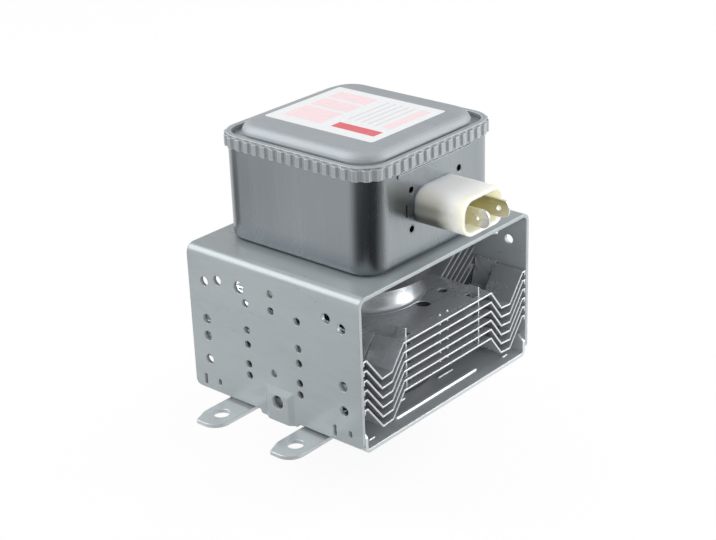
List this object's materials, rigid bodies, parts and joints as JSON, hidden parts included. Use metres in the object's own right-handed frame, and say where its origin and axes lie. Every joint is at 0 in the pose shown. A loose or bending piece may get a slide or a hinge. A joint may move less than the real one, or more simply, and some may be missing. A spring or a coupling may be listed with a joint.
{
  "type": "microwave oven magnetron",
  "caption": "Packaged magnetron with a perforated steel yoke, folded cooling fins, filter box with connector, mounting feet and an output aerial, for heating in an oven.",
  "frame": {"origin": "on the tube axis, at the lower face of the mounting plate, midway between the foot holes", "axes": "+Z along the tube axis towards the filter box, the aerial points to -Z, the connector faces -Y, cooling air flows along Y"},
  "size_m": [0.131, 0.1004, 0.1282],
  "materials": {
    "yoke_zinc": "satin zinc plate",
    "plate_zinc": "satin zinc plate",
    "magnet_ferrite": "matt sintered ferrite",
    "fin_aluminium": "rolled sheet",
    "case_steel": "bright plated sheet",
    "lid_steel": "satin plated sheet",
    "ivory_plastic": "ivory moulded plastic",
    "tinned_brass": "tinned",
    "plain_steel": "plated steel",
    "white_ceramic": "fired alumina",
    "copper": "bare copper",
    "anode_copper": "plated copper",
    "core_ferrite": "matt ferrite rod",
    "tungsten": "drawn wire",
    "wire_mesh": "knitted wire"
  },
  "bodies": {
    "root": {"yoke_bracket": "yoke_zinc", "mounting_plate": "plate_zinc", "upper_magnet": "magnet_ferrite", "lower_magnet": "magnet_ferrite", "cooling_fin_1": "fin_aluminium", "cooling_fin_2": "fin_aluminium", "cooling_fin_3": "fin_aluminium", "cooling_fin_4": "fin_aluminium", "cooling_fin_5": "fin_aluminium", "cooling_fin_6": "fin_aluminium", "filter_case": "case_steel", "filter_lid": "lid_steel", "connector_housing": "ivory_plastic", "left_terminal": "tinned_brass", "right_terminal": "tinned_brass", "ground_flange": "plain_steel", "case_rivets": "plain_steel", "upper_pole_piece": "plain_steel", "lower_pole_piece": "plain_steel", "cathode_seal_cup": "plain_steel", "aerial_seal_cup": "plain_steel", "centre_stem_terminal": "plain_steel", "side_stem_terminal": "plain_steel", "aerial_cap": "plain_steel", "gasket_retainer": "plain_steel", "capacitor_block": "white_ceramic", "stem_ceramic": "white_ceramic", "aerial_ceramic": "white_ceramic", "left_choke_coil": "copper", "right_choke_coil": "copper", "anode_vane_1": "copper", "anode_vane_2": "copper", "anode_vane_3": "copper", "anode_vane_4": "copper", "anode_vane_5": "copper", "anode_vane_6": "copper", "anode_vane_7": "copper", "anode_vane_8": "copper", "anode_vane_9": "copper", "anode_vane_10": "copper", "upper_inner_strap": "copper", "upper_outer_strap": "copper", "lower_inner_strap": "copper", "lower_outer_strap": "copper", "aerial_lead": "copper", "exhaust_tube": "copper", "anode_shell": "anode_copper", "left_choke_core": "core_ferrite", "right_choke_core": "core_ferrite", "filament": "tungsten", "upper_end_hat": "tungsten", "lower_end_hat": "tungsten", "centre_lead": "tungsten", "side_lead": "tungsten", "mesh_gasket": "wire_mesh"}
  },
  "joints": []
}
